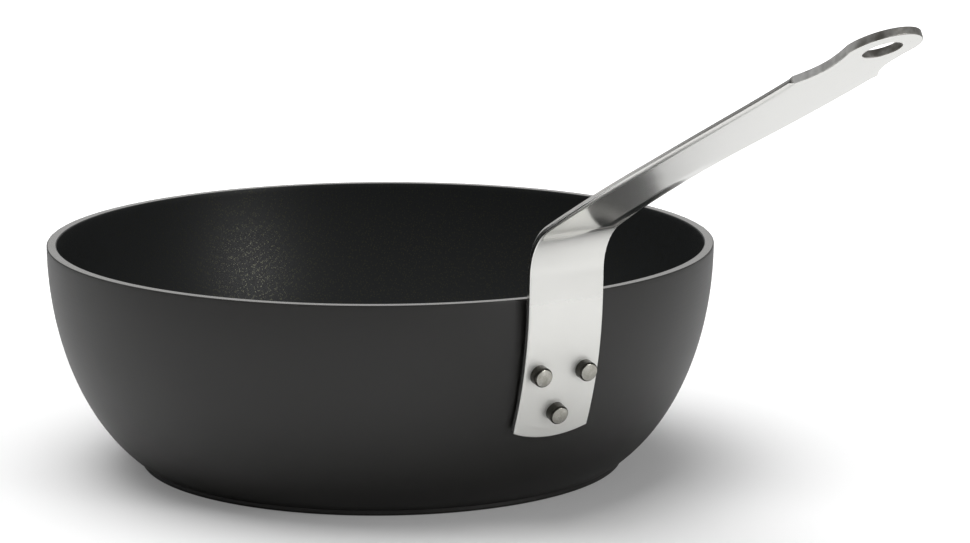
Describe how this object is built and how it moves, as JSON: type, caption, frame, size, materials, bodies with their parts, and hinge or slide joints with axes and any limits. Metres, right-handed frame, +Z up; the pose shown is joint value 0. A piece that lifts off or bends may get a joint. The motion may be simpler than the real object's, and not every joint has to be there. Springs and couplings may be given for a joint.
{
  "type": "saute pan",
  "caption": "Rounded saute pan with a flat foot, a plain rim and a long steel strip handle, riveted to the wall, bent up and outwards, with a hole at its end for hanging.",
  "frame": {"origin": "centre of the foot, on the surface that the pan stands on", "axes": "+Z up along the bowl's axis, +X from the bowl towards the end of the handle"},
  "size_m": [0.4426, 0.2508, 0.1999],
  "materials": {
    "pan_body": "hard-anodised dark grey, satin, with a black non-stick coat inside and a bare machined rim",
    "handle": "polished",
    "induction_plate": "turned",
    "rivets": "plain, dull"
  },
  "bodies": {
    "root": {"pan_body": "pan_body", "handle": "handle", "induction_plate": "induction_plate", "rivet_upper_left": "rivets", "rivet_upper_right": "rivets", "rivet_lower": "rivets"}
  },
  "joints": []
}
